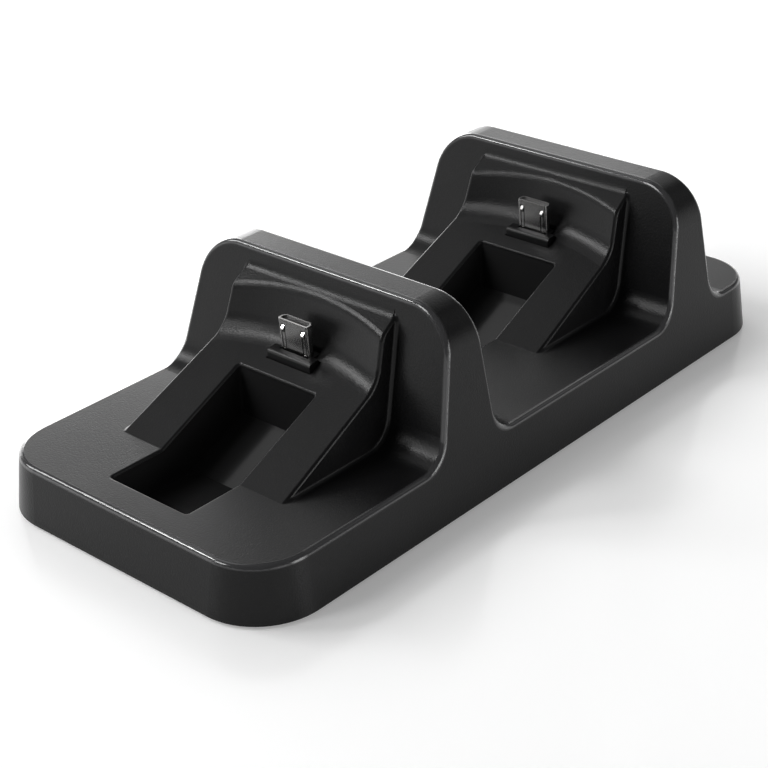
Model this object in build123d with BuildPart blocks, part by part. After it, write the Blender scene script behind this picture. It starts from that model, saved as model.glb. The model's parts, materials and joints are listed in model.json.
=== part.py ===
from build123d import *
import math
import os

os.makedirs("parts", exist_ok=True)

# driving sizes of the dock in mm; X is the width, Y the length (front at -Y), Z up, ground at 0
foot_proud = 0.6
base_w = 67.2
base_l = 146.9
platform_h = 10.34
fin_h = 35.27
corner_r = 12.4
corner_top_r = 5.6
side_draft = 8.13
edge_r = 0.9
wall_t = 2.0
shell_z = foot_proud
front_y = -base_l / 2

# upright backrests, two alike: one fin_setback behind the front end, one tail_l before the rear end
fin_setback = 51.37
tail_l = 27.55
pitch = base_l - fin_setback - tail_l
fin_top_t = 6.73
fin_front_lean = 14.58
fin_rear_lean = 4.0
fin_corner_r = 9.3
front_cove_r = 6.0
rear_cove_r = 5.0

# sloped seat in front of each backrest
ramp_setback = 19.72
ramp_w = 39.05
ramp_angle = 24.6
ramp_draft = 4.6
ramp_edge_r = 0.6
seam_r = 0.7

# scooped head on top of the seat
shelf_top_z = 32.1
shelf_angle = 34.0
scoop_lean = 16.0
scoop_edge_y = 46.35
scoop_r = 80.0
arch_r = 2.4
scoop_foot_r = 6.5
shelf_cove_r = 3.0

# bent trough through seat and platform
trough_w = 18.5
trough_start = 7.99
trough_end = 38.86
trough_floor_z = 3.3
trough_bend_y = 25.9
trough_corner_r = 0.6
trough_lip_r = 0.5
trough_wall_t = 1.5

# plug of each station, micro-B form
plug_w = 6.85
plug_t = 1.8
plug_back_w = 5.6
plug_tip_y = 44.2
plug_tip_z = 28.15
plug_lean = 4.0
plug_sheet_t = 0.28
plug_len = 12.4
collar_w = 10.2
collar_front = 2.85
collar_ledge = 0.5
collar_back = 1.35
collar_neck_w = 7.9
collar_h = 6.5
collar_edge_r = 0.7
collar_mouth = 0.45
collar_mouth_h = 0.9
slot_gap = 0.25

# bottom cover, feet and screws
cover_t = 1.6
rebate_wall = 1.2
cover_gap = 0.2
foot_d = 10.0
foot_sink = 0.8
foot_gap = 0.1
cup_d = 8.4
cup_h = 2.0
cup_bore_d = 5.2
cup_seat_z = 2.2
boss_d = 5.6
screw_d = 2.5
screw_head_d = 4.6
screw_head_h = 1.4
screw_hole_gap = 0.1
screw_side = 10.1
screw_inset = 14.0
foot_side = 9.6
foot_inset = 26.0

# boards
board_t = 1.0
station_board_w = 26.0
station_board_l = 11.0
station_boss_x = 10.2
board_screw_d = 1.9
board_head_d = 3.4
board_head_h = 0.9
board_boss_d = 4.4
main_board_gap = 2.3
main_board_l = 19.6
main_board_z = 3.0
main_boss_side = 3.4
wall_clear = 0.6

# parts on the main board
chip_w = 4.9
chip_l = 3.9
chip_h = 1.45
chip_shift = 0.1
chip_inset = 8.6
lead_pitch = 1.27
lead_w = 0.42
lead_t = 0.2
lead_reach = 0.7
input_cap_w = 3.5
input_cap_l = 2.8
input_cap_h = 1.9
input_cap_gap = 0.8
output_cap_w = 2.0
output_cap_l = 3.2
output_cap_h = 1.6
output_cap_inset = 5.2
boss_side_gap = 1.8
resistor_w = 0.8
resistor_l = 1.6
resistor_h = 0.45
resistor_step = 1.0

# inlet socket
inlet_w = 7.5
inlet_h = 2.45
inlet_l = 5.6
inlet_sheet = 0.3
inlet_recess_w = 11.4
inlet_recess_h = 5.8
inlet_recess_t = 0.8
inlet_gap = 0.2
inlet_corner = 0.6
tongue_w = 3.7
tongue_t = 0.7
tongue_l = 4.0

# wires
wire_d = 1.2
wire_step = 1.8
wire_bend = 1.6
wire_rise = 1.8
wire_inset = 1.7

# derived places
tan = lambda a: math.tan(math.radians(a))
sin = lambda a: math.sin(math.radians(a))
cos = lambda a: math.cos(math.radians(a))
top_z = shell_z + platform_h
crown_z = shell_z + fin_h
draft_in = fin_h * tan(side_draft)
ceiling_z = top_z - wall_t
rear_y = -front_y
fin_fronts = [front_y + fin_setback, front_y + fin_setback + pitch]
station_shifts = [0.0, pitch]


def fin_front_y(z):
    return front_y + fin_setback - (crown_z - z) * tan(fin_front_lean)


def fin_rear_y(z):
    return front_y + fin_setback + fin_top_t + (crown_z - z) * tan(fin_rear_lean)


def ramp_z(y):
    return top_z + (y - front_y - ramp_setback) * tan(ramp_angle)


# outer form: a drafted block with coned corners, cut to the side outline of platform and backrests
far = base_l
over = 12.0
with BuildPart() as form:
    with BuildSketch(Plane.XY.offset(shell_z)):
        RectangleRounded(base_w, base_l, corner_r)
    with BuildSketch(Plane.XY.offset(crown_z)):
        RectangleRounded(base_w - 2 * draft_in, base_l - 2 * draft_in, corner_top_r)
    loft(ruled=True)
    with BuildSketch(Plane.YZ) as outline:
        with BuildLine():
            Polyline(
                (-far, 0), (-far, top_z),
                (fin_front_y(top_z), top_z), (fin_front_y(crown_z), crown_z),
                (fin_rear_y(crown_z), crown_z), (fin_rear_y(top_z), top_z),
                (fin_front_y(top_z) + pitch, top_z), (fin_front_y(crown_z) + pitch, crown_z),
                (fin_rear_y(crown_z) + pitch, crown_z), (fin_rear_y(top_z) + pitch, top_z),
                (far, top_z), (far, 0), close=True,
            )
        make_face()
        feet_front = [fin_front_y(top_z), fin_front_y(top_z) + pitch]
        feet_rear = [fin_rear_y(top_z), fin_rear_y(top_z) + pitch]
        low = [v for v in outline.vertices() if abs(v.Y - top_z) < 0.01]
        fillet([v for v in low if min(abs(v.X - y) for y in feet_front) < 0.01], front_cove_r)
        low = [v for v in outline.vertices() if abs(v.Y - top_z) < 0.01]
        fillet([v for v in low if min(abs(v.X - y) for y in feet_rear) < 0.01], rear_cove_r)
    extrude(amount=base_w, both=True, mode=Mode.INTERSECT)
    crown_sides = [e for e in form.edges().filter_by(GeomType.LINE)
                   if abs(e.center().Z - crown_z) < 0.01 and abs(e.tangent_at(0.5).Y) > 0.99]
    fillet(crown_sides, fin_corner_r)
    rim_seeds = [e for e in form.edges()
                 if abs(e.tangent_at(0.5).X) > 0.99 and (
                     (abs(e.center().Z - top_z) < 0.01 and abs(e.center().Y) > base_l / 2 - 3)
                     or (abs(e.center().Z - crown_z) < 0.01
                         and abs(e.center().Y - front_y - fin_setback - fin_top_t) < 0.01))]
    fillet(rim_seeds, edge_r)

# one seat: sloped ramp with a head whose front is scooped to a wide arc
ramp_y0 = front_y + ramp_setback
sink = 1.5
shelf_reach = 20.0
fin_heart_y = front_y + fin_setback + wall_t
shelf_y = front_y + fin_setback - (crown_z - shell_z - shelf_top_z) * tan(fin_front_lean)
shelf_z = shell_z + shelf_top_z
edge_y = front_y + scoop_edge_y
edge_z = shelf_z - (shelf_y - edge_y) * tan(shelf_angle)
scoop_plane = Plane(origin=(0, edge_y, edge_z), x_dir=(1, 0, 0),
                    z_dir=(0, sin(scoop_lean), cos(scoop_lean)))
half_chord = ramp_w / 2 - (edge_z - top_z) * tan(ramp_draft)
sagitta = scoop_r - math.sqrt(scoop_r ** 2 - half_chord ** 2)
wide = ramp_w * 0.6
wide_dip = scoop_r - math.sqrt(scoop_r ** 2 - wide ** 2) - sagitta
side_planes = [Plane(origin=(side * ramp_w / 2, 0, top_z), x_dir=(0, 1, 0),
                     z_dir=(side * cos(ramp_draft), 0, sin(ramp_draft))) for side in (-1, 1)]
with BuildPart() as seat:
    with BuildSketch(scoop_plane):
        with BuildLine():
            ThreePointArc((-wide, -wide_dip), (0, sagitta), (wide, -wide_dip))
            Polyline((wide, -wide_dip), (wide, 9.0), (-wide, 9.0), (-wide, -wide_dip))
        make_face()
    extrude(amount=14.0, both=True)
    with BuildSketch(Plane.YZ):
        with BuildLine():
            Polyline((edge_y - shelf_reach, edge_z - shelf_reach * tan(shelf_angle)),
                     (fin_heart_y, edge_z + (fin_heart_y - edge_y) * tan(shelf_angle)),
                     (fin_heart_y, 0), (edge_y - shelf_reach, 0), close=True)
        make_face()
    extrude(amount=base_w, both=True, mode=Mode.INTERSECT)
    with BuildSketch(Plane.YZ):
        with BuildLine():
            Polyline((ramp_y0 - sink / tan(ramp_angle), top_z - sink),
                     (fin_heart_y, ramp_z(fin_heart_y)),
                     (fin_heart_y, top_z - sink), close=True)
        make_face()
    extrude(amount=ramp_w, both=True)
    for side_plane in side_planes:
        split(bisect_by=side_plane, keep=Keep.BOTTOM)
    arcs = seat.edges().filter_by(GeomType.ELLIPSE).sort_by(Axis.Z)
    fillet(arcs[0], scoop_foot_r)
    arch = seat.edges().filter_by(GeomType.ELLIPSE).sort_by(Axis.Z)[-1]
    fillet(arch, arch_r)
    side_seeds = [e for e in seat.edges().filter_by(GeomType.LINE)
                  if abs(e.center().X) > ramp_w / 4 and abs(e.tangent_at(0.5).Y) > 0.8
                  and abs(abs(e.tangent_at(0.5).Z / e.tangent_at(0.5).Y) - tan(ramp_angle)) < 0.05]
    fillet(side_seeds, ramp_edge_r)

# inside of the shell: platform room, backrest rooms and the room under each seat
inner_w = base_w - 2 * wall_t
inner_l = base_l - 2 * wall_t
room_top_z = crown_z - wall_t - 0.4
skin = wall_t / cos(ramp_angle)
fin_skin_f = wall_t / cos(fin_front_lean)
fin_skin_r = wall_t / cos(fin_rear_lean)


def room_front_y(z):
    return fin_front_y(z) + fin_skin_f


def room_rear_y(z):
    return fin_rear_y(z) - fin_skin_r


with BuildPart() as rooms:
    with BuildSketch(Plane.XY.offset(shell_z)):
        RectangleRounded(inner_w, inner_l, corner_r - wall_t)
    extrude(amount=room_top_z - shell_z, taper=side_draft)
    with BuildSketch(Plane.YZ) as room_outline:
        with BuildLine():
            Polyline(
                (-far, 0), (-far, ceiling_z),
                (room_front_y(ceiling_z), ceiling_z), (room_front_y(room_top_z), room_top_z),
                (room_rear_y(room_top_z), room_top_z), (room_rear_y(ceiling_z), ceiling_z),
                (room_front_y(ceiling_z) + pitch, ceiling_z), (room_front_y(room_top_z) + pitch, room_top_z),
                (room_rear_y(room_top_z) + pitch, room_top_z), (room_rear_y(ceiling_z) + pitch, ceiling_z),
                (far, ceiling_z), (far, 0), close=True,
            )
        make_face()
    extrude(amount=base_w, both=True, mode=Mode.INTERSECT)
    crown_inner = [e for e in rooms.edges().filter_by(GeomType.LINE)
                   if abs(e.center().Z - room_top_z) < 0.01 and abs(e.tangent_at(0.5).Y) > 0.99]
    fillet(crown_inner, fin_corner_r - wall_t)

# room under one seat, following the ramp one skin below its face
seat_room_w = ramp_w - 2 * wall_t - 1.0
seat_room_y1 = room_front_y(top_z + 9.0) + 1.5
seat_room_end = fin_setback - 6.57
seat_room_top = ramp_z(front_y + seat_room_end) - skin
with BuildPart() as seat_room:
    with BuildSketch(Plane.YZ):
        with BuildLine():
            y_low = ramp_y0 + (ceiling_z - 1.0 - top_z + skin) / tan(ramp_angle)
            y_bend = ramp_y0 + (seat_room_top - top_z + skin) / tan(ramp_angle)
            Polyline((y_low, ceiling_z - 1.0), (y_bend, seat_room_top),
                     (seat_room_y1, seat_room_top), (seat_room_y1, ceiling_z - 1.0), close=True)
        make_face()
    extrude(amount=seat_room_w / 2, both=True)

# bent trough of one seat: the cut, and the block of wall round it
trough_y0 = front_y + trough_start
trough_y1 = front_y + trough_end
bend_y = front_y + trough_bend_y
floor_z = shell_z + trough_floor_z
trough_mid = (trough_y0 + trough_y1) / 2
trough_l = trough_y1 - trough_y0
tall = ramp_z(trough_y1) + 6.0
with BuildPart() as trough_cut:
    with BuildSketch(Plane.XY.offset(floor_z)):
        with Locations((0, trough_mid)):
            RectangleRounded(trough_w, trough_l, trough_corner_r)
    extrude(amount=tall - floor_z)
    with BuildSketch(Plane.YZ):
        with BuildLine():
            Polyline((trough_y0 - 5, floor_z), (bend_y, floor_z),
                     (trough_y1 + 5, floor_z + (trough_y1 + 5 - bend_y) * tan(ramp_angle)),
                     (trough_y1 + 5, tall), (trough_y0 - 5, tall), close=True)
        make_face()
    extrude(amount=trough_w, both=True, mode=Mode.INTERSECT)
block_z = floor_z - trough_wall_t
block_rise = trough_wall_t / cos(ramp_angle)
with BuildPart() as trough_block:
    with BuildSketch(Plane.YZ):
        with BuildLine():
            y0 = trough_y0 - trough_wall_t
            y1 = trough_y1 + trough_wall_t
            yb = bend_y + (block_rise - trough_wall_t) / tan(ramp_angle)
            Polyline((y0, block_z), (yb, block_z),
                     (y1, floor_z - block_rise + (y1 - bend_y) * tan(ramp_angle)),
                     (y1, ramp_z(y1) - skin / 2), (ramp_y0, top_z - skin / 2),
                     (y0, top_z - skin / 2), close=True)
        make_face()
    extrude(amount=trough_w / 2 + trough_wall_t, both=True)

# axis of one plug: its frame has Z along the plug and X across it
plug_tip = (0, front_y + plug_tip_y, shell_z + plug_tip_z)
plug_axis = (0, -sin(plug_lean), cos(plug_lean))


def on_plug(shift, height):
    """A plane square to the plug of the station at this shift, this far above its board."""
    rise = height - plug_len
    origin = (0, plug_tip[1] + shift + plug_axis[1] * rise, plug_tip[2] + plug_axis[2] * rise)
    return Plane(origin=origin, x_dir=(1, 0, 0), z_dir=plug_axis)


# bosses hanging from the shell: for the cover, for each station board, and for the main board with its rests
cup_top_z = shell_z + cover_t + cup_h
screw_x = base_w / 2 - screw_side
foot_x = base_w / 2 - foot_side
main_board_w = 2 * (screw_x - cup_d / 2 - main_board_gap)
main_boss_x = main_board_w / 2 - main_boss_side
screw_places = [(side * screw_x, y) for side in (-1, 1)
                for y in (front_y + screw_inset, 0.0, rear_y - screw_inset)]
main_y1 = rear_y - wall_t - (main_board_z + foot_proud) * tan(side_draft) - wall_clear
main_y0 = main_y1 - main_board_l
main_mid = (main_y0 + main_y1) / 2
main_bottom = shell_z + main_board_z
main_top = main_bottom + board_t
main_screws = [(side * main_boss_x, main_y0 + 6.0) for side in (-1, 1)]
main_rests = [(side * main_boss_x, main_y1 - 3.0) for side in (-1, 1)]
station_board_shift = 1.6
station_boss_shift = 2.0
inlet_mid_z = main_top + inlet_h / 2
recess_y = rear_y - (inlet_mid_z - shell_z) * tan(side_draft) - inlet_recess_t


def on_seam(edge, shift):
    """True for an edge where a seat's block meets the platform or its backrest."""
    points = [edge @ t for t in (0.0, 0.5, 1.0)]
    if any(abs(p.X) > ramp_w / 2 + 0.05 for p in points):
        return False
    if any(p.Y - shift < ramp_y0 - 0.05 or p.Y - shift > shelf_y + 0.5 for p in points):
        return False
    foot = all(abs(p.Z - top_z) < 0.01 and p.Y - shift < fin_front_y(top_z) for p in points)
    back = all(abs(p.Y - shift - fin_front_y(p.Z)) < 0.01 and p.Z > top_z + 1 for p in points)
    return foot or back


# hollow cove between shelf and backrest, sunk into both
cove_turn = (90 - fin_front_lean - shelf_angle) / 2
cove_reach = shelf_cove_r * tan(cove_turn) * 0.97
cove_fill = shelf_cove_r * (1 / cos(cove_turn) - 1)
cove_low = (shelf_y - cove_reach * cos(shelf_angle), shelf_z - cove_reach * sin(shelf_angle))
cove_high = (shelf_y + cove_reach * sin(fin_front_lean), shelf_z + cove_reach * cos(fin_front_lean))
cove_face = 90 - shelf_angle - cove_turn
cove_mid = (shelf_y - cove_fill * cos(cove_face), shelf_z + cove_fill * sin(cove_face))
cove_half = ramp_w / 2 - (shelf_z - top_z) * tan(ramp_draft) - ramp_edge_r
cove_sink = 0.5
with BuildPart() as cove:
    with BuildSketch(Plane.YZ):
        with BuildLine():
            ThreePointArc(cove_low, cove_mid, cove_high)
            Polyline(cove_high, (cove_high[0] + cove_sink, cove_high[1]),
                     (cove_low[0] + cove_sink, cove_low[1] - cove_sink),
                     (cove_low[0], cove_low[1] - cove_sink), cove_low)
        make_face()
    extrude(amount=cove_half, both=True)

with BuildPart() as outer:
    add(form.part)
    for shift in station_shifts:
        add(seat.part.moved(Location((0, shift, 0))))
        fillet([e for e in outer.edges() if on_seam(e, shift)], seam_r)
        add(cove.part.moved(Location((0, shift, 0))))


def on_lip(edge, shift):
    """True for an edge where a trough opens on the platform or on the ramp."""
    for t in (0.0, 0.5, 1.0):
        p = edge @ t
        y = p.Y - shift
        deep_z = floor_z + max(0.0, y - bend_y) * tan(ramp_angle)
        if abs(p.X) > trough_w / 2 + 0.01 or y < trough_y0 - 0.01 or y > trough_y1 + 0.01:
            return False
        if p.Z < deep_z + 1.5:
            return False
    return True


with BuildPart() as top_shell:
    add(outer.part)
    add(rooms.part, mode=Mode.SUBTRACT)
    for shift in station_shifts:
        add(seat_room.part.moved(Location((0, shift, 0))), mode=Mode.SUBTRACT)
    with BuildSketch(Plane.XY.offset(shell_z)):
        RectangleRounded(base_w - 2 * rebate_wall, base_l - 2 * rebate_wall, corner_r - rebate_wall)
    extrude(amount=cover_t, mode=Mode.SUBTRACT)
    for shift in station_shifts:
        add(trough_block.part.moved(Location((0, shift, 0))))
    with BuildSketch(Plane.XY.offset(cup_top_z)):
        with Locations(*screw_places):
            Circle(boss_d / 2)
    extrude(amount=ceiling_z + 0.6 - cup_top_z)
    with BuildSketch(Plane.XY.offset(main_top)):
        with Locations(*main_screws, *main_rests):
            Circle(board_boss_d / 2)
    extrude(amount=ceiling_z + 0.6 - main_top)
    for shift in station_shifts:
        boss_plane = on_plug(shift, 0.0)
        with BuildSketch(boss_plane):
            with Locations((-station_boss_x, station_boss_shift), (station_boss_x, station_boss_shift)):
                Circle(board_boss_d / 2)
        extrude(amount=5.2)
    for shift in station_shifts:
        add(trough_cut.part.moved(Location((0, shift, 0))), mode=Mode.SUBTRACT)
        fillet([e for e in top_shell.edges() if on_lip(e, shift)], trough_lip_r)
    with BuildSketch(Plane.XY.offset(cup_top_z)):
        with Locations(*screw_places):
            Circle(screw_d / 2)
    extrude(amount=ceiling_z - 0.2 - cup_top_z, mode=Mode.SUBTRACT)
    with BuildSketch(Plane.XY.offset(main_top)):
        with Locations(*main_screws):
            Circle(board_screw_d / 2)
    extrude(amount=ceiling_z - 0.2 - main_top, mode=Mode.SUBTRACT)
    for shift in station_shifts:
        boss_plane = on_plug(shift, 0.0)
        with BuildSketch(boss_plane):
            with Locations((-station_boss_x, station_boss_shift), (station_boss_x, station_boss_shift)):
                Circle(board_screw_d / 2)
        extrude(amount=4.6, mode=Mode.SUBTRACT)
        with BuildSketch(boss_plane):
            with Locations((0, -(collar_front + collar_ledge) / 2)):
                Rectangle(collar_w + 2 * slot_gap, collar_front - collar_ledge + 2 * slot_gap)
            with Locations((0, (collar_back - collar_front) / 2)):
                Rectangle(collar_neck_w + 2 * slot_gap, collar_front + collar_back + 2 * slot_gap)
        extrude(amount=plug_len + 2, mode=Mode.SUBTRACT)
    with BuildSketch(Plane(origin=(0, recess_y, inlet_mid_z), x_dir=(1, 0, 0), z_dir=(0, -1, 0))):
        RectangleRounded(inlet_recess_w, inlet_recess_h, 1.2)
    extrude(amount=-6.0, mode=Mode.SUBTRACT)
    with BuildSketch(Plane(origin=(0, recess_y, inlet_mid_z), x_dir=(1, 0, 0), z_dir=(0, -1, 0))):
        RectangleRounded(inlet_w + 2 * inlet_gap, inlet_h + 2 * inlet_gap, 0.5)
    extrude(amount=4.0, mode=Mode.SUBTRACT)
top_shell.part.label = "top_shell"
export_step(top_shell.part, "parts/top_shell.step")

# bottom cover: a plate in the shell's rebate with one cup for each screw and a dip for each foot
foot_places = [(side * foot_x, end * (base_l / 2 - foot_inset)) for side in (-1, 1) for end in (-1, 1)]
with BuildPart() as bottom_cover:
    with BuildSketch(Plane.XY.offset(shell_z)):
        RectangleRounded(base_w - 2 * (rebate_wall + cover_gap), base_l - 2 * (rebate_wall + cover_gap),
                         corner_r - rebate_wall - cover_gap)
    extrude(amount=cover_t)
    with BuildSketch(Plane.XY.offset(shell_z + cover_t)):
        with Locations(*screw_places):
            Circle(cup_d / 2)
    extrude(amount=cup_h)
    with BuildSketch(Plane.XY.offset(shell_z)):
        with Locations(*screw_places):
            Circle(cup_bore_d / 2)
    extrude(amount=cup_seat_z, mode=Mode.SUBTRACT)
    with BuildSketch(Plane.XY.offset(shell_z)):
        with Locations(*screw_places):
            Circle(screw_d / 2 + 0.2)
    extrude(amount=cover_t + cup_h, mode=Mode.SUBTRACT)
    with BuildSketch(Plane.XY.offset(shell_z)):
        with Locations(*foot_places):
            Circle(foot_d / 2 + foot_gap)
    extrude(amount=foot_sink, mode=Mode.SUBTRACT)
bottom_cover.part.label = "bottom_cover"
export_step(bottom_cover.part, "parts/bottom_cover.step")

# four rubber feet, each with a rounded lower edge
foot_names = ["foot_front_left", "foot_rear_left", "foot_front_right", "foot_rear_right"]
for foot_name, place in zip(foot_names, foot_places):
    with BuildPart() as foot:
        with BuildSketch(Plane.XY):
            with Locations(place):
                Circle(foot_d / 2)
        extrude(amount=foot_proud + foot_sink)
        fillet(foot.faces().sort_by(Axis.Z)[0].edges(), 0.35)
    foot.part.label = foot_name
    export_step(foot.part, "parts/" + foot_name + ".step")

# cover screws, one group: head in the cup, shank up into the boss, cross recess below
screw_seat_z = shell_z + cup_seat_z
cross_w = 0.7
with BuildPart() as cover_screws:
    with BuildSketch(Plane.XY.offset(screw_seat_z - screw_head_h)):
        with Locations(*screw_places):
            Circle(screw_head_d / 2)
    extrude(amount=screw_head_h)
    with BuildSketch(Plane.XY.offset(screw_seat_z)):
        with Locations(*screw_places):
            Circle(screw_d / 2 - screw_hole_gap / 2)
    extrude(amount=ceiling_z - 0.6 - screw_seat_z)
    low_rims = [e for e in cover_screws.edges().filter_by(GeomType.CIRCLE)
                if abs(e.center().Z - screw_seat_z + screw_head_h) < 0.01]
    fillet(low_rims, 0.5)
    with BuildSketch(Plane.XY.offset(screw_seat_z - screw_head_h)):
        with Locations(*screw_places):
            Rectangle(screw_head_d * 0.6, cross_w)
            Rectangle(cross_w, screw_head_d * 0.6)
    extrude(amount=0.7, mode=Mode.SUBTRACT)
cover_screws.part.label = "cover_screws"
export_step(cover_screws.part, "parts/cover_screws.step")

# pieces of each station: board, its screws, and the plug standing on it in its collar
contact_step = 0.65
contact_w = 0.34
latch_x = 2.4
window_w = 1.0
window_top = plug_len - 1.0
window_low = plug_len - 5.8
latch_w = 0.56
hook_out = 0.35
half_w = plug_w / 2
half_t = plug_t / 2
half_back = plug_back_w / 2
for name, shift in (("front", 0.0), ("rear", pitch)):
    with BuildPart() as station_board:
        with BuildSketch(on_plug(shift, -board_t)):
            with Locations((0, station_board_shift)):
                RectangleRounded(station_board_w, station_board_l, 0.8)
            with Locations((-station_boss_x, station_boss_shift), (station_boss_x, station_boss_shift)):
                Circle(board_screw_d / 2 + 0.15, mode=Mode.SUBTRACT)
        extrude(amount=board_t)
    station_board.part.label = name + "_station_board"
    export_step(station_board.part, "parts/" + name + "_station_board.step")

    with BuildPart() as board_screws:
        with BuildSketch(on_plug(shift, -board_t - board_head_h)):
            with Locations((-station_boss_x, station_boss_shift), (station_boss_x, station_boss_shift)):
                Circle(board_head_d / 2)
        extrude(amount=board_head_h)
        with BuildSketch(on_plug(shift, -board_t)):
            with Locations((-station_boss_x, station_boss_shift), (station_boss_x, station_boss_shift)):
                Circle(board_screw_d / 2 - screw_hole_gap / 2)
        extrude(amount=board_t + 4.0)
        with BuildSketch(on_plug(shift, -board_t - board_head_h)):
            with Locations((-station_boss_x, station_boss_shift), (station_boss_x, station_boss_shift)):
                Rectangle(board_head_d * 0.6, 0.5)
                Rectangle(0.5, board_head_d * 0.6)
        extrude(amount=0.45, mode=Mode.SUBTRACT)
    board_screws.part.label = name + "_board_screws"
    export_step(board_screws.part, "parts/" + name + "_board_screws.step")

    with BuildPart() as plug_shell:
        with BuildSketch(on_plug(shift, 0.0)) as plug_section:
            with BuildLine():
                Polyline((-half_w, -half_t), (half_w, -half_t), (half_w, half_t - 0.65),
                         (half_back, half_t), (-half_back, half_t), (-half_w, half_t - 0.65), close=True)
            make_face()
            fillet(plug_section.vertices(), 0.3)
            offset(amount=-plug_sheet_t, mode=Mode.SUBTRACT)
        extrude(amount=plug_len)
        with BuildSketch(on_plug(shift, window_low)):
            with Locations((-latch_x, -half_t), (latch_x, -half_t)):
                Rectangle(window_w, plug_sheet_t * 2 + 0.02)
        extrude(amount=window_top - window_low, mode=Mode.SUBTRACT)
    plug_shell.part.label = name + "_plug_shell"
    export_step(plug_shell.part, "parts/" + name + "_plug_shell.step")

    with BuildPart() as plug_insulator:
        with BuildSketch(on_plug(shift, 0.0)) as core_section:
            with BuildLine():
                Polyline((-half_w, -half_t), (half_w, -half_t), (half_w, half_t - 0.65),
                         (half_back, half_t), (-half_back, half_t), (-half_w, half_t - 0.65), close=True)
            make_face()
            fillet(core_section.vertices(), 0.3)
            offset(amount=-plug_sheet_t, mode=Mode.REPLACE)
        extrude(amount=plug_len - 0.35)
        with BuildSketch(on_plug(shift, plug_len - 4.6)):
            with Locations((0, -0.22)):
                Rectangle(4 * contact_step + 0.9, 0.46)
        extrude(amount=5.0, mode=Mode.SUBTRACT)
        with BuildSketch(on_plug(shift, 0.0)):
            with GridLocations(contact_step, 1, 5, 1):
                Rectangle(contact_w, 0.2)
        extrude(amount=plug_len, mode=Mode.SUBTRACT)
    plug_insulator.part.label = name + "_plug_insulator"
    export_step(plug_insulator.part, "parts/" + name + "_plug_insulator.step")

    with BuildPart() as plug_contacts:
        with BuildSketch(on_plug(shift, 0.0)):
            with GridLocations(contact_step, 1, 5, 1):
                Rectangle(contact_w, 0.2)
        extrude(amount=plug_len - 0.6)
    plug_contacts.part.label = name + "_plug_contacts"
    export_step(plug_contacts.part, "parts/" + name + "_plug_contacts.step")

    with BuildPart() as plug_latches:
        side_frame = on_plug(shift, 0.0)
        for side in (-1, 1):
            origin = side_frame.from_local_coords(Vector(side * latch_x - latch_w / 2, 0, 0))
            with BuildSketch(Plane(origin=origin, x_dir=side_frame.y_dir, z_dir=(1, 0, 0))):
                with BuildLine():
                    Polyline((-half_t + plug_sheet_t, window_low), (-half_t + 0.03, window_low),
                             (-half_t + 0.03, window_top - 1.6), (-half_t - hook_out, window_top - 0.9),
                             (-half_t - hook_out * 0.8, window_top - 0.65),
                             (-half_t + plug_sheet_t, window_top - 0.15), close=True)
                make_face()
            extrude(amount=latch_w)
    plug_latches.part.label = name + "_plug_latches"
    export_step(plug_latches.part, "parts/" + name + "_plug_latches.step")

    with BuildPart() as plug_collar:
        with BuildSketch(on_plug(shift, 0.0)):
            with Locations((0, -(collar_front + collar_ledge) / 2)):
                Rectangle(collar_w, collar_front - collar_ledge)
            with Locations((0, (collar_back - collar_front) / 2)):
                Rectangle(collar_neck_w, collar_front + collar_back)
        extrude(amount=collar_h)
        top_plane = on_plug(shift, collar_h)
        top_edges = [e for e in plug_collar.edges() if abs(top_plane.to_local_coords(e.center()).Z) < 0.05]
        fillet([e for e in top_edges if top_plane.to_local_coords(e.center()).Y < 0.05 - collar_front],
               collar_edge_r)
        with BuildSketch(on_plug(shift, 0.0)) as hole_section:
            with BuildLine():
                Polyline((-half_w, -half_t), (half_w, -half_t), (half_w, half_t - 0.65),
                         (half_back, half_t), (-half_back, half_t), (-half_w, half_t - 0.65), close=True)
            make_face()
            fillet(hole_section.vertices(), 0.3)
        extrude(amount=collar_h + 1, mode=Mode.SUBTRACT)
        with BuildSketch(on_plug(shift, collar_h - collar_mouth_h)):
            with Locations((0, -half_t - collar_mouth / 2)):
                Rectangle(plug_w, collar_mouth + 0.02)
        extrude(amount=collar_mouth_h + 1, mode=Mode.SUBTRACT)
    plug_collar.part.label = name + "_plug_collar"
    export_step(plug_collar.part, "parts/" + name + "_plug_collar.step")

# main board with its screws, chips, capacitors and resistors
with BuildPart() as main_board:
    with BuildSketch(Plane.XY.offset(main_bottom)):
        with Locations((0, main_mid)):
            RectangleRounded(main_board_w, main_board_l, 1.0)
        with Locations(*main_screws):
            Circle(board_screw_d / 2 + 0.15, mode=Mode.SUBTRACT)
    extrude(amount=board_t)
main_board.part.label = "main_board"
export_step(main_board.part, "parts/main_board.step")

with BuildPart() as main_board_screws:
    with BuildSketch(Plane.XY.offset(main_bottom - board_head_h)):
        with Locations(*main_screws):
            Circle(board_head_d / 2)
    extrude(amount=board_head_h)
    with BuildSketch(Plane.XY.offset(main_bottom)):
        with Locations(*main_screws):
            Circle(board_screw_d / 2 - screw_hole_gap / 2)
    extrude(amount=ceiling_z - 0.6 - main_bottom)
    with BuildSketch(Plane.XY.offset(main_bottom - board_head_h)):
        with Locations(*main_screws):
            Rectangle(board_head_d * 0.6, 0.5)
            Rectangle(0.5, board_head_d * 0.6)
    extrude(amount=0.45, mode=Mode.SUBTRACT)
main_board_screws.part.label = "main_board_screws"
export_step(main_board_screws.part, "parts/main_board_screws.step")

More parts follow.
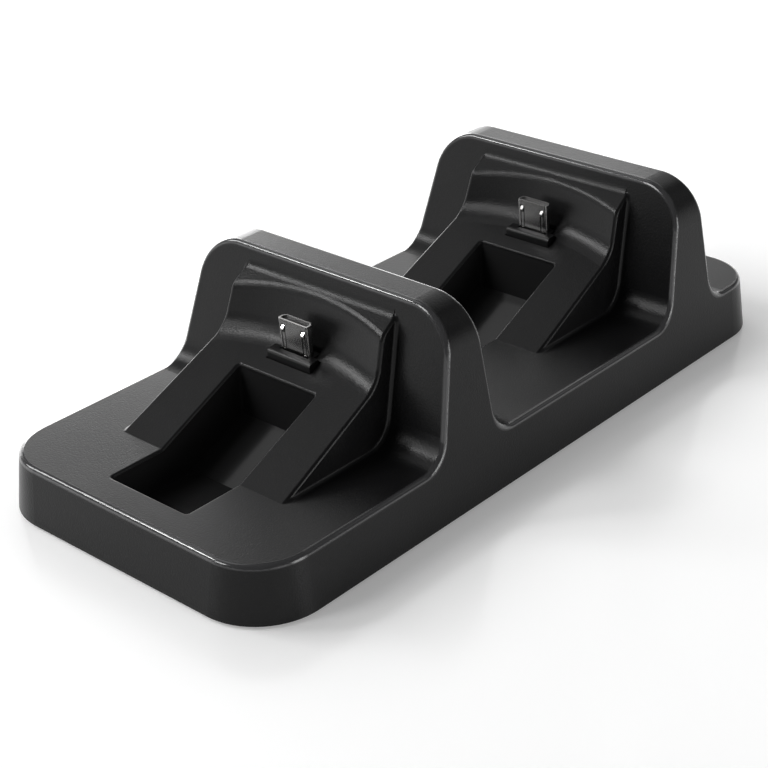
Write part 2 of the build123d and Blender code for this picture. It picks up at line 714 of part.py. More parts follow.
# each chip stands midway between the middle resistors and the screw boss
chip_side = (resistor_w / 2 + main_boss_x - board_boss_d / 2) / 2 + chip_shift
chip_y = main_y0 + chip_inset
for chip_name, chip_x in (("charge_chip_left", -chip_side), ("charge_chip_right", chip_side)):
    with BuildPart() as chip:
        with BuildSketch(Plane.XY.offset(main_top + 0.1)):
            with Locations((chip_x, chip_y)):
                Rectangle(chip_w, chip_l)
        extrude(amount=chip_h)
        chamfer(chip.faces().sort_by(Axis.Z)[-1].edges(), 0.25)
        with BuildSketch(Plane.XY.offset(main_top + 0.55)):
            with Locations((chip_x, chip_y)):
                with GridLocations(lead_pitch, 1, 4, 1):
                    Rectangle(lead_w, chip_l + 1.0)
        extrude(amount=lead_t)
        with BuildSketch(Plane.XY.offset(main_top)):
            with Locations((chip_x, chip_y)):
                with GridLocations(lead_pitch, chip_l + 4 * lead_t, 4, 2):
                    Rectangle(lead_w, lead_t)
        extrude(amount=0.75)
        with BuildSketch(Plane.XY.offset(main_top)):
            with Locations((chip_x, chip_y)):
                with GridLocations(lead_pitch, chip_l + 2 * lead_reach, 4, 2):
                    Rectangle(lead_w, 4 * lead_t)
        extrude(amount=lead_t)
    chip.part.label = chip_name
    export_step(chip.part, "parts/" + chip_name + ".step")

with BuildPart() as input_capacitor:
    with BuildSketch(Plane.XY.offset(main_top)):
        with Locations((0, recess_y - inlet_l - input_cap_gap - input_cap_l / 2)):
            Rectangle(input_cap_w, input_cap_l)
    extrude(amount=input_cap_h)
    fillet(input_capacitor.faces().sort_by(Axis.Z)[-1].edges(), 0.2)
input_capacitor.part.label = "input_capacitor"
export_step(input_capacitor.part, "parts/input_capacitor.step")

# the output capacitors stand beside the rest bosses of the board
output_cap_x = main_boss_x - board_boss_d / 2 - boss_side_gap - output_cap_w / 2
output_cap_y = main_y1 - output_cap_inset
with BuildPart() as output_capacitors:
    with BuildSketch(Plane.XY.offset(main_top)):
        with Locations((-output_cap_x, output_cap_y), (output_cap_x, output_cap_y)):
            Rectangle(output_cap_w, output_cap_l)
    extrude(amount=output_cap_h)
output_capacitors.part.label = "output_capacitors"
export_step(output_capacitors.part, "parts/output_capacitors.step")

resistor_x = chip_side + 5 * resistor_w
resistor_y = [chip_y - resistor_step, chip_y + resistor_step]
with BuildPart() as chip_resistors:
    with BuildSketch(Plane.XY.offset(main_top)):
        with Locations((-resistor_x, resistor_y[1]), (resistor_x, resistor_y[1]),
                       (0, resistor_y[0]), (0, resistor_y[1])):
            Rectangle(resistor_w, resistor_l)
    extrude(amount=resistor_h)
chip_resistors.part.label = "chip_resistors"
export_step(chip_resistors.part, "parts/chip_resistors.step")

# inlet socket on the rear edge of the main board: folded shell, tongue and contacts
inlet_back = recess_y - inlet_l
half_iw = inlet_w / 2
inlet_frame = Plane(origin=(0, inlet_back, main_top), x_dir=(-1, 0, 0), z_dir=(0, 1, 0))
with BuildPart() as inlet_shell:
    with BuildSketch(inlet_frame) as inlet_section:
        with BuildLine():
            Polyline((-half_iw + inlet_corner, 0), (half_iw - inlet_corner, 0), (half_iw, inlet_corner),
                     (half_iw, inlet_h), (-half_iw, inlet_h), (-half_iw, inlet_corner), close=True)
        make_face()
        offset(amount=-inlet_sheet, mode=Mode.SUBTRACT)
    extrude(amount=inlet_l)
inlet_shell.part.label = "inlet_shell"
export_step(inlet_shell.part, "parts/inlet_shell.step")

tongue_z = inlet_h / 2 + 0.1
with BuildPart() as inlet_tongue:
    with BuildSketch(inlet_frame) as inlet_core:
        with BuildLine():
            Polyline((-half_iw + inlet_corner, 0), (half_iw - inlet_corner, 0), (half_iw, inlet_corner),
                     (half_iw, inlet_h), (-half_iw, inlet_h), (-half_iw, inlet_corner), close=True)
        make_face()
        offset(amount=-inlet_sheet, mode=Mode.REPLACE)
    extrude(amount=1.2)
    with BuildSketch(inlet_frame):
        with Locations((0, tongue_z)):
            Rectangle(tongue_w, tongue_t)
    extrude(amount=1.2 + tongue_l)
inlet_tongue.part.label = "inlet_tongue"
export_step(inlet_tongue.part, "parts/inlet_tongue.step")

with BuildPart() as inlet_contacts:
    with BuildSketch(inlet_frame.offset(1.2)):
        with Locations((0, tongue_z - tongue_t / 2 - 0.08)):
            with GridLocations(contact_step, 1, 5, 1):
                Rectangle(contact_w, 0.16)
    extrude(amount=tongue_l - 0.4)
inlet_contacts.part.label = "inlet_contacts"
export_step(inlet_contacts.part, "parts/inlet_contacts.step")

# supply wires from the main board to the two station boards
wire_z = main_top + wire_rise
wire_y = main_y0 + wire_inset
for name, shift, colour, lane in (("front", 0.0, "red", 0), ("front", 0.0, "black", 1),
                                  ("rear", pitch, "red", 0), ("rear", pitch, "black", 1)):
    pad_frame = on_plug(shift, -board_t)
    if name == "front":
        pad_x = 6.6 + lane * wire_step
        start_x = 8.6 + lane * wire_step
        side_x = trough_w / 2 + trough_wall_t + 3.4 + lane * wire_step
    else:
        pad_x = -6.6 - lane * wire_step
        start_x = pad_x
        side_x = pad_x
    pad = pad_frame.from_local_coords(Vector(pad_x, 5.6, 0))
    below = pad_frame.from_local_coords(Vector(pad_x, 5.6, -4.0))
    if name == "front":
        points = [(start_x, wire_y, main_top), (start_x, wire_y, wire_z),
                  (start_x, wire_y - 3.4, wire_z), (side_x, wire_y - 9.0, wire_z),
                  (side_x, below.Y + 8.0, wire_z), (pad_x, below.Y, wire_z),
                  (pad_x, below.Y, below.Z), (pad.X, pad.Y, pad.Z)]
    else:
        points = [(start_x, wire_y, main_top), (start_x, wire_y, wire_z),
                  (pad_x, below.Y, wire_z), (pad_x, below.Y, below.Z), (pad.X, pad.Y, pad.Z)]
    with BuildPart() as wire:
        with BuildLine() as wire_path:
            FilletPolyline(*points, radius=wire_bend * 0.6)
        with BuildSketch(Plane(origin=wire_path.line @ 0, z_dir=wire_path.line % 0)):
            Circle(wire_d / 2)
        sweep(path=wire_path.line)
    wire.part.label = name + "_wire_" + colour
    export_step(wire.part, "parts/" + name + "_wire_" + colour + ".step")
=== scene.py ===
"""Looks of a charging dock for game controllers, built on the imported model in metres.

The dock is one moulded housing with two backrests. Each stands behind a sloped seat with a bent trough
and an upright plug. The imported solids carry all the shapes, so this file adds none. It gives every piece
its finish, sets up a plain studio, and puts the camera where the photograph was taken.
"""

import json
import logging
import math
from abc import ABC, abstractmethod
from collections.abc import Iterable, Sequence
from dataclasses import dataclass, field
from enum import Enum

import bmesh
import bpy
from mathutils import Matrix, Vector


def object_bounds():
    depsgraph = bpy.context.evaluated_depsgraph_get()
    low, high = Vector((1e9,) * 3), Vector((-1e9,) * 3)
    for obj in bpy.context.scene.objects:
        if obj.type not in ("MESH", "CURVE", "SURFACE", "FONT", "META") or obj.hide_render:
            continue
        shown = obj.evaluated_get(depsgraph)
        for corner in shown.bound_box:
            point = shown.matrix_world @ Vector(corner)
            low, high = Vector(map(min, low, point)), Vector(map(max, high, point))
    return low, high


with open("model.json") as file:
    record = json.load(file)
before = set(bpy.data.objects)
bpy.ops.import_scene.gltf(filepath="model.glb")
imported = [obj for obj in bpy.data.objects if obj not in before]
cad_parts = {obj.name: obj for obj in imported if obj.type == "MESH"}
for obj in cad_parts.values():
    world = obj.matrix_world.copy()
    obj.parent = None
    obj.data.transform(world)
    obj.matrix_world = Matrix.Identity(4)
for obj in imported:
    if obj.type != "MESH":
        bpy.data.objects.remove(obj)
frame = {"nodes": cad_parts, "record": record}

LOG = logging.getLogger("dock")
MM = 0.001
CAD_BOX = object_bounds()
HALF_W, HALF_L, CROWN_Z = CAD_BOX[1]
PLUG_PLACE = {row["name"]: row["pos_m"] for row in frame["record"]["mounts"]}
PITCH = PLUG_PLACE["rear_plug"][1] - PLUG_PLACE["front_plug"][1]
FOOT_H = 0.6 * MM
PLATFORM_Z = 10.94 * MM
SENSOR_W = 36.0
PICTURE_W = 768.0

Colour = tuple[float, float, float]
Point = tuple[float, float, float]
Socket = bpy.types.NodeSocket


class Slot(Enum):
    """The material slots of the record, by what they are made of."""

    SHELL = "shell_black"
    COVER = "cover_black"
    FOOT = "foot_rubber"
    COLLAR = "collar_black"
    PLUG = "plug_steel"
    INSULATOR = "insulator_black"
    CONTACT = "contact_gold"
    BOARD = "board_green"
    CHIP = "chip_black"
    CAPACITOR = "capacitor_tan"
    RESISTOR = "resistor_black"
    SCREW = "screw_steel"
    WIRE_RED = "wire_red"
    WIRE_BLACK = "wire_black"


class Station(Enum):
    """The two stations of the dock, each with how far it stands behind the front one, in metres."""

    FRONT = 0.0
    REAR = PITCH


# Node trees


class Wiring:
    """Adds nodes to one node tree and joins them, so that a finish reads as a short recipe."""

    def __init__(self, tree: bpy.types.NodeTree) -> None:
        """Takes the tree to work in.

        Args:
            tree: The node tree of a material, a world or a group.
        """
        self.tree = tree

    def add(self, kind: str, **settings: object) -> bpy.types.Node:
        """Adds one node.

        Args:
            kind: The node's type name without its ShaderNode prefix, or the full name of a group node.
            **settings: Properties set on the node.

        Returns:
            The new node.
        """
        full = kind if kind.startswith("NodeGroup") else "ShaderNode" + kind
        node = self.tree.nodes.new(full)
        for name, value in settings.items():
            setattr(node, name, value)
        return node

    def feed(self, target: Socket, source: Socket | float | Sequence[float]) -> None:
        """Gives an input its source.

        Args:
            target: The input.
            source: An output to join to it, or a plain value to set on it.
        """
        if isinstance(source, bpy.types.NodeSocket):
            self.tree.links.new(source, target)
        else:
            target.default_value = source

    def math(self, operation: str, *values: Socket | float) -> Socket:
        """Adds a Math node.

        Args:
            operation: The operation's name, such as MULTIPLY.
            *values: Its inputs, as outputs of other nodes or plain numbers.

        Returns:
            The node's output.
        """
        node = self.add("Math", operation=operation)
        for target, value in zip(node.inputs, values):
            self.feed(target, value)
        return node.outputs[0]

    def blend(self, factor: Socket | float, low: Socket | Colour, high: Socket | Colour) -> Socket:
        """Mixes two colours.

        Args:
            factor: 0 gives low, 1 gives high.
            low: The first colour.
            high: The second colour.

        Returns:
            The mixed colour's output.
        """
        node = self.add("Mix", data_type="RGBA")
        self.feed(node.inputs["Factor"], factor)
        for target, value in ((node.inputs["A"], low), (node.inputs["B"], high)):
            self.feed(target, value if isinstance(value, bpy.types.NodeSocket) else (*value, 1.0))
        return node.outputs["Result"]

    def ramp(self, value: Socket, low: float, high: float,
             out_low: float = 0.0, out_high: float = 1.0) -> Socket:
        """Maps a value smoothly from one range to another.

        Args:
            value: The value to map.
            low: Where the range starts.
            high: Where it ends.
            out_low: The result at the start.
            out_high: The result at the end.

        Returns:
            The mapped value's output.
        """
        node = self.add("MapRange", interpolation_type="SMOOTHSTEP")
        ends = {"From Min": low, "From Max": high, "To Min": out_low, "To Max": out_high}
        for name, number in ends.items():
            node.inputs[name].default_value = number
        self.feed(node.inputs["Value"], value)
        return node.outputs["Result"]

    def place(self) -> Socket:
        """Returns the point's place on the piece."""
        return self.add("TexCoord").outputs["Object"]

    def place_parts(self) -> tuple[Socket, Socket, Socket]:
        """Splits the point's place on the piece.

        Returns:
            Its X, its Y and its Z.
        """
        split = self.add("SeparateXYZ")
        self.feed(split.inputs[0], self.place())
        return tuple(split.outputs)

    def noise(self, place: Socket, scale: Socket | float,
              detail: float = 2.0, roughness: float = 0.5) -> Socket:
        """Adds a noise.

        Args:
            place: Where it is read.
            scale: Its waves in one metre.
            detail: How many finer layers it has.
            roughness: How much the finer layers count.

        Returns:
            Its value, about 0.5 on average.
        """
        node = self.add("TexNoise")
        settings = {"Vector": place, "Scale": scale, "Detail": detail, "Roughness": roughness}
        for name, value in settings.items():
            self.feed(node.inputs[name], value)
        return node.outputs[0]

    def group(self, tree: bpy.types.NodeTree, **values: Socket | float) -> bpy.types.Node:
        """Places a node group.

        Args:
            tree: The group.
            **values: Its inputs by name, with underscores for spaces.

        Returns:
            The group's node.
        """
        node = self.add("Group")
        node.node_tree = tree
        for name, value in values.items():
            self.feed(node.inputs[name.replace("_", " ")], value)
        return node


@dataclass(frozen=True)
class SharedEffect(ABC):
    """A shader effect that several finishes use, built once as a node group.

    Attributes:
        name: The group's name.
    """

    name: str = ""

    def tree(self) -> bpy.types.NodeTree:
        """Gives the group's tree, and builds it on first use.

        Returns:
            The tree.
        """
        found = bpy.data.node_groups.get(self.name)
        if found is not None:
            return found
        tree = bpy.data.node_groups.new(self.name, "ShaderNodeTree")
        self.build(tree, Wiring(tree))
        return tree

    @staticmethod
    def socket(tree: bpy.types.NodeTree, name: str, outwards: bool = False) -> None:
        """Adds a number socket to the group.

        Args:
            tree: The group's tree.
            name: The socket's name.
            outwards: Whether it is an output.
        """
        way = "OUTPUT" if outwards else "INPUT"
        tree.interface.new_socket(name=name, in_out=way, socket_type="NodeSocketFloat")

    @abstractmethod
    def build(self, tree: bpy.types.NodeTree, wiring: Wiring) -> None:
        """Fills the group.

        Args:
            tree: The group's tree.
            wiring: The helper that works in it.
        """


@dataclass(frozen=True)
class ErodedGrain(SharedEffect):
    """The fine pitted grain that a spark-eroded mould leaves on plastic, as a height and a mask of flecks.

    Attributes:
        layers: How many finer layers the grain has.
        layer_share: How much the finer layers count.
        pits: Pits for each grain.
        pit_edge: Where a pit starts and ends, from its middle outwards.
        pit_share: How much of the height the pits make.
        fleck_edge: Between which heights a grain becomes a fleck.
    """

    name: str = "eroded grain"
    layers: float = 2.0
    layer_share: float = 0.6
    pits: float = 0.8
    pit_edge: tuple[float, float] = (0.1, 0.7)
    pit_share: float = 0.4
    fleck_edge: tuple[float, float] = (0.56, 0.74)

    def build(self, tree: bpy.types.NodeTree, wiring: Wiring) -> None:
        """Fills the group.

        Args:
            tree: The group's tree.
            wiring: The helper that works in it.
        """
        self.socket(tree, "Grains Per Metre")
        self.socket(tree, "Height", outwards=True)
        self.socket(tree, "Fleck", outwards=True)
        entry, leave = wiring.add("NodeGroupInput"), wiring.add("NodeGroupOutput")
        place, scale = wiring.place(), entry.outputs["Grains Per Metre"]
        grain = wiring.noise(place, scale, self.layers, self.layer_share)
        cells = wiring.add("TexVoronoi", feature="F1")
        wiring.feed(cells.inputs["Vector"], place)
        wiring.feed(cells.inputs["Scale"], wiring.math("MULTIPLY", scale, self.pits))
        pit = wiring.math("MULTIPLY", wiring.ramp(cells.outputs["Distance"], *self.pit_edge), self.pit_share)
        height = wiring.math("ADD", wiring.math("MULTIPLY", grain, 1.0 - self.pit_share), pit)
        wiring.feed(leave.inputs["Height"], height)
        wiring.feed(leave.inputs["Fleck"], wiring.ramp(grain, *self.fleck_edge))


@dataclass(frozen=True)
class Handling(SharedEffect):
    """The faint uneven sheen that hands and a cloth leave on plastic, as a slow mask from 0 to 1.

    Attributes:
        layers: How many finer layers the patches have.
        patch_edge: Between which noise values a patch starts.
    """

    name: str = "handling"
    layers: float = 3.0
    patch_edge: tuple[float, float] = (0.35, 0.7)

    def build(self, tree: bpy.types.NodeTree, wiring: Wiring) -> None:
        """Fills the group.

        Args:
            tree: The group's tree.
            wiring: The helper that works in it.
        """
        self.socket(tree, "Patches Per Metre")
        self.socket(tree, "Mask", outwards=True)
        entry, leave = wiring.add("NodeGroupInput"), wiring.add("NodeGroupOutput")
        cloud = wiring.noise(wiring.place(), entry.outputs["Patches Per Metre"], self.layers)
        wiring.feed(leave.inputs["Mask"], wiring.ramp(cloud, *self.patch_edge))


@dataclass(frozen=True)
class DrawnLines(SharedEffect):
    """The fine lines of rolled or drawn metal, stretched along the piece's height.

    Attributes:
        layers: How many finer layers the lines have.
        squeeze: The pattern's scale along a line, as a share of its scale across.
    """

    name: str = "drawn lines"
    layers: float = 1.0
    squeeze: float = 0.04

    def build(self, tree: bpy.types.NodeTree, wiring: Wiring) -> None:
        """Fills the group.

        Args:
            tree: The group's tree.
            wiring: The helper that works in it.
        """
        self.socket(tree, "Lines Per Metre")
        self.socket(tree, "Height", outwards=True)
        entry, leave = wiring.add("NodeGroupInput"), wiring.add("NodeGroupOutput")
        stretch = wiring.add("Mapping")
        wiring.feed(stretch.inputs["Vector"], wiring.place())
        stretch.inputs["Scale"].default_value = (1.0, 1.0, self.squeeze)
        lines = wiring.noise(stretch.outputs[0], entry.outputs["Lines Per Metre"], self.layers)
        wiring.feed(leave.inputs["Height"], lines)


@dataclass(frozen=True)
class TroughMask(SharedEffect):
    """1 on the polished walls and floors inside the two troughs, 0 on the grained outside.

    The places along Y are those of the front station.

    Attributes:
        half_w: Half the trough's width.
        front_y: Its front wall.
        rear_y: Its rear wall.
        ramp_start_y: Where the seat's slope starts.
        ramp_angle: The slope, in degrees.
        lowest_z: A height below the trough's floor.
        below_lip: How far below the lip the polish starts.
        slack: How far the mask reaches into the walls.
    """

    name: str = "trough mask"
    half_w: float = 9.25 * MM
    front_y: float = -65.46 * MM
    rear_y: float = -34.59 * MM
    ramp_start_y: float = -53.73 * MM
    ramp_angle: float = 24.6
    lowest_z: float = 3.0 * MM
    below_lip: float = 0.5 * MM
    slack: float = 0.1 * MM

    def build(self, tree: bpy.types.NodeTree, wiring: Wiring) -> None:
        """Fills the group.

        Args:
            tree: The group's tree.
            wiring: The helper that works in it.
        """
        self.socket(tree, "Mask", outwards=True)
        leave = wiring.add("NodeGroupOutput")
        x, y, z = wiring.place_parts()
        across = wiring.math("LESS_THAN", wiring.math("ABSOLUTE", x), self.half_w + self.slack)
        above = wiring.math("GREATER_THAN", z, self.lowest_z)
        inside: Socket | float = 0.0
        for station in Station:
            here = self.below_seat(wiring, wiring.math("SUBTRACT", y, station.value), z)
            inside = wiring.math("MAXIMUM", inside, here)
        mask = wiring.math("MULTIPLY", wiring.math("MULTIPLY", across, above), inside)
        wiring.feed(leave.inputs["Mask"], mask)

    def below_seat(self, wiring: Wiring, along: Socket, z: Socket) -> Socket:
        """Tells whether a point lies between the trough's end walls and below its lip.

        Args:
            wiring: The helper that works in the group.
            along: The point's Y, from the front station's place.
            z: Its Z.

        Returns:
            1 where it does, and 0 elsewhere.
        """
        after = wiring.math("GREATER_THAN", along, self.front_y - self.slack)
        before = wiring.math("LESS_THAN", along, self.rear_y + self.slack)
        up_ramp = wiring.math("SUBTRACT", along, self.ramp_start_y)
        rise = wiring.math("MULTIPLY", up_ramp, math.tan(math.radians(self.ramp_angle)))
        lip = wiring.math("ADD", wiring.math("MAXIMUM", rise, 0.0), PLATFORM_Z - self.below_lip)
        under = wiring.math("LESS_THAN", z, lip)
        return wiring.math("MULTIPLY", wiring.math("MULTIPLY", after, before), under)


@dataclass(frozen=True)
class RimMask(SharedEffect):
    """1 on the rounded rims where the drafted outside meets the platform's top and the backrests' faces.

    A rim is where a point lies close under both the outside and the profile of the tops and faces.
    The places along Y are those of the front station.

    Attributes:
        corner_low: The radius of the platform's corners at the ground.
        corner_high: The radius that they would shrink to at the crown.
        crown_corner: The radius of the backrests' upper corners.
        draft: How far the walls lean in for each metre of height.
        front_top_y: The backrest's front face at the crown.
        front_lean: How far that face leans for each metre of height.
        rear_top_y: Its rear face at the crown.
        rear_lean: How far that face leans.
        cove: The size of the coves where the faces meet the platform.
        rim: Between which depths the rim ends.
    """

    name: str = "rim mask"
    corner_low: float = 12.4 * MM
    corner_high: float = 5.6 * MM
    crown_corner: float = 9.3 * MM
    draft: float = math.tan(math.radians(8.13))
    front_top_y: float = -22.08 * MM
    front_lean: float = math.tan(math.radians(14.58))
    rear_top_y: float = -15.35 * MM
    rear_lean: float = math.tan(math.radians(4.0))
    cove: float = 5.2 * MM
    rim: tuple[float, float] = (0.5 * MM, 1.0 * MM)

    def build(self, tree: bpy.types.NodeTree, wiring: Wiring) -> None:
        """Fills the group.

        Args:
            tree: The group's tree.
            wiring: The helper that works in it.
        """
        self.socket(tree, "Mask", outwards=True)
        leave = wiring.add("NodeGroupOutput")
        x, y, z = wiring.place_parts()
        depth = wiring.math("MAXIMUM", self.below_outside(wiring, x, y, z), self.below_profile(wiring, y, z))
        wiring.feed(leave.inputs["Mask"], wiring.ramp(depth, *self.rim, 1.0, 0.0))

    def below_outside(self, wiring: Wiring, x: Socket, y: Socket, z: Socket) -> Socket:
        """Finds how deep a point lies under the drafted walls and the crown.

        Args:
            wiring: The helper that works in the group.
            x: The point's X.
            y: Its Y.
            z: Its Z.

        Returns:
            The depth, in metres.
        """
        do = wiring.math
        rise = do("SUBTRACT", z, FOOT_H)
        pull = do("MULTIPLY", rise, self.draft)
        shrink = (self.corner_high - self.corner_low) / (CROWN_Z - FOOT_H)
        corner = do("MULTIPLY_ADD", rise, shrink, self.corner_low)
        past = [do("ADD", do("ADD", do("SUBTRACT", do("ABSOLUTE", axis), half), pull), corner)
                for axis, half in ((x, HALF_W), (y, HALF_L))]
        inner = do("MINIMUM", do("MAXIMUM", *past), 0.0)
        walls = do("SUBTRACT", do("SUBTRACT", corner, self.length(wiring, *past)), inner)
        middle_z = CROWN_Z - self.crown_corner
        middle_x = HALF_W - (middle_z - FOOT_H) * self.draft - self.crown_corner
        above = do("SUBTRACT", z, middle_z)
        leaning_x = do("MULTIPLY_ADD", do("MINIMUM", above, 0.0), self.draft, do("ABSOLUTE", x))
        aside = do("SUBTRACT", leaning_x, middle_x)
        crown = do("SUBTRACT", self.crown_corner, self.length(wiring, aside, above))
        return do("MINIMUM", walls, crown)

    def below_profile(self, wiring: Wiring, y: Socket, z: Socket) -> Socket:
        """Finds how deep a point lies under the platform's top and the backrests' faces, coves and all.

        Args:
            wiring: The helper that works in the group.
            y: The point's Y.
            z: Its Z.

        Returns:
            The depth, in metres.
        """
        do = wiring.math
        under_crown = do("SUBTRACT", CROWN_Z, z)
        backs: list[Socket] = []
        for station in Station:
            along = do("SUBTRACT", y, station.value)
            behind_top = do("SUBTRACT", along, self.front_top_y)
            front = do("ADD", behind_top, do("MULTIPLY", under_crown, self.front_lean))
            rear = do("SUBTRACT", do("MULTIPLY_ADD", under_crown, self.rear_lean, self.rear_top_y), along)
            backs.append(do("MINIMUM", front, rear))
        back = do("MAXIMUM", *backs)
        top = do("SUBTRACT", PLATFORM_Z, z)
        # The cove is a smooth maximum of the two depths: where they are equal it adds a quarter of its size.
        near = do("MAXIMUM", do("SUBTRACT", self.cove, do("ABSOLUTE", do("SUBTRACT", top, back))), 0.0)
        fill = do("MULTIPLY", do("MULTIPLY", near, near), 0.25 / self.cove)
        return do("ADD", do("MAXIMUM", top, back), fill)

    @staticmethod
    def length(wiring: Wiring, one: Socket, other: Socket) -> Socket:
        """Finds the length of two distances at right angles, each counted only outwards.

        Args:
            wiring: The helper that works in the group.
            one: The first distance.
            other: The second distance.

        Returns:
            The length, in metres.
        """
        squares = [wiring.math("POWER", wiring.math("MAXIMUM", side, 0.0), 2.0) for side in (one, other)]
        return wiring.math("SQRT", wiring.math("ADD", *squares))


# Finishes


@dataclass(frozen=True)
class Finish(ABC):
    """A finish of one material slot.

    Attributes:
        colour: The base colour, linear.
        roughness: The gloss, from 0 for a mirror to 1 for chalk.
    """

    colour: Colour
    roughness: float

    def material(self, slot: Slot) -> bpy.types.Material:
        """Builds the material of one slot.

        Args:
            slot: The slot it is for.

        Returns:
            The material.
        """
        made = bpy.data.materials.new(slot.value)
        made.use_nodes = True
        made.diffuse_color = (*self.colour, 1.0)
        wiring = Wiring(made.node_tree)
        shader = made.node_tree.nodes["Principled BSDF"]
        self.dress(wiring, shader)
        return made

    @abstractmethod
    def dress(self, wiring: Wiring, shader: bpy.types.Node) -> None:
        """Joins the finish's nodes to the shader.

        Args:
            wiring: The helper that works in the material's tree.
            shader: The Principled shader.
        """

    @staticmethod
    def bump(wiring: Wiring, shader: bpy.types.Node, height: Socket, strength: float, depth: float) -> None:
        """Gives the shader a bump.

        Args:
            wiring: The helper that works in the material's tree.
            shader: The Principled shader.
            height: The height's output, 0 to 1.
            strength: How much of it shows.
            depth: How deep it is, in metres.
        """
        bump = wiring.add("Bump")
        bump.inputs["Strength"].default_value = strength
        bump.inputs["Distance"].default_value = depth
        wiring.feed(bump.inputs["Height"], height)
        wiring.feed(shader.inputs["Normal"], bump.outputs[0])


@dataclass(frozen=True)
class MouldedPlastic(Finish):
    """Injection-moulded plastic with the grain of its mould.

    Attributes:
        grain: Grains in one metre.
        grain_depth: Depth of the grain, in metres.
        grain_strength: How much of the grain shows.
        fleck: How much lighter the flecks are, as a share of the colour.
        handled: How much handling changes the gloss.
        patches: Handled patches in one metre.
        mirror: The plastic's specular level, where 0.5 is that of clear plastic.
    """

    grain: float = 4000.0
    grain_depth: float = 0.02 * MM
    grain_strength: float = 0.5
    fleck: float = 0.5
    handled: float = 0.05
    patches: float = 60.0
    mirror: float = 0.5

    def dress(self, wiring: Wiring, shader: bpy.types.Node) -> None:
        """Joins the finish's nodes to the shader.

        Args:
            wiring: The helper that works in the material's tree.
            shader: The Principled shader.
        """
        shader.inputs["Specular IOR Level"].default_value = self.mirror
        grain = wiring.group(ErodedGrain().tree(), Grains_Per_Metre=self.grain)
        handled = wiring.group(Handling().tree(), Patches_Per_Metre=self.patches).outputs["Mask"]
        light = tuple(min(1.0, c * (1.0 + self.fleck)) for c in self.colour)
        wiring.feed(shader.inputs["Base Color"], wiring.blend(grain.outputs["Fleck"], self.colour, light))
        gloss = wiring.math("MULTIPLY_ADD", handled, self.handled, self.roughness - self.handled / 2)
        wiring.feed(shader.inputs["Roughness"], self.gloss(wiring, gloss))
        height = self.relief(wiring, grain.outputs["Height"])
        self.bump(wiring, shader, height, self.grain_strength, self.grain_depth)

    def gloss(self, wiring: Wiring, value: Socket) -> Socket:
        """Returns the roughness, unchanged unless a kind of plastic has its own."""
        return value

    def relief(self, wiring: Wiring, value: Socket) -> Socket:
        """Returns the grain's height, unchanged unless a kind of plastic has its own."""
        return value


@dataclass(frozen=True)
class ShellPlastic(MouldedPlastic):
    """The housing's plastic: grained outside, polished inside the troughs and rubbed smooth on its edges,
    with lighter colours that paint a highlight on the edges and lift the shade inside the troughs.

    Attributes:
        polish: Roughness inside the troughs.
        smooth: The lighter colour inside the troughs, painted light that lifts their shade.
        trough_gloss: How much clear gloss lies on it.
        grain_lost: How much of the grain is missing there.
        rubbed: Roughness on the rims.
        rim_highlight: The lighter colour painted on the rims as a highlight.
        gloss_roughness: Roughness of the clear gloss on the rims and inside the troughs.
    """

    polish: float = 0.16
    # Painted light: this colour is lighter than the grained plastic, to lift the shade inside the troughs.
    smooth: Colour = (0.02, 0.02, 0.0204)
    trough_gloss: float = 0.2
    grain_lost: float = 0.94
    rubbed: float = 0.2
    # Painted highlight: the rims are coloured lighter than the plastic.
    rim_highlight: Colour = (0.05, 0.05, 0.052)
    gloss_roughness: float = 0.12

    def dress(self, wiring: Wiring, shader: bpy.types.Node) -> None:
        """Joins the finish's nodes to the shader, with a clear gloss on the rims and inside the troughs, a
        painted highlight in a lighter colour on the rims and painted light in a lighter colour inside the
        troughs.

        Args:
            wiring: The helper that works in the material's tree.
            shader: The Principled shader.
        """
        super().dress(wiring, shader)
        rim, inside = self.rim(wiring), self.inside(wiring)
        shader.inputs["Coat Roughness"].default_value = self.gloss_roughness
        gloss = wiring.math("MAXIMUM", rim, wiring.math("MULTIPLY", inside, self.trough_gloss))
        wiring.feed(shader.inputs["Coat Weight"], gloss)
        moulded = shader.inputs["Base Color"].links[0].from_socket
        # Painted light: the insides of the troughs get a lighter colour.
        trough_lifted = wiring.blend(inside, moulded, self.smooth)
        # Painted highlight: the rims get a lighter colour.
        wiring.feed(shader.inputs["Base Color"], wiring.blend(rim, trough_lifted, self.rim_highlight))

    def rim(self, wiring: Wiring) -> Socket:
        """Returns 1 on the rims, which are rubbed smooth and carry a painted highlight, and 0 elsewhere."""
        return wiring.group(RimMask().tree()).outputs["Mask"]

    def inside(self, wiring: Wiring) -> Socket:
        """Returns 1 inside the troughs and 0 elsewhere."""
        return wiring.group(TroughMask().tree()).outputs["Mask"]

    def gloss(self, wiring: Wiring, value: Socket) -> Socket:
        """Lowers the roughness inside the troughs and on the rims.

        Args:
            wiring: The helper that works in the material's tree.
            value: The grained plastic's roughness.

        Returns:
            The roughness over the whole piece.
        """
        for mask, smooth in ((self.rim(wiring), self.rubbed), (self.inside(wiring), self.polish)):
            kept = wiring.math("MULTIPLY", value, wiring.math("SUBTRACT", 1.0, mask))
            value = wiring.math("MULTIPLY_ADD", mask, smooth, kept)
        return value

    def relief(self, wiring: Wiring, value: Socket) -> Socket:
        """Returns the grain's height, faded out inside the troughs."""
        bare = wiring.math("MULTIPLY", self.inside(wiring), self.grain_lost)
        return wiring.math("MULTIPLY", value, wiring.math("SUBTRACT", 1.0, bare))


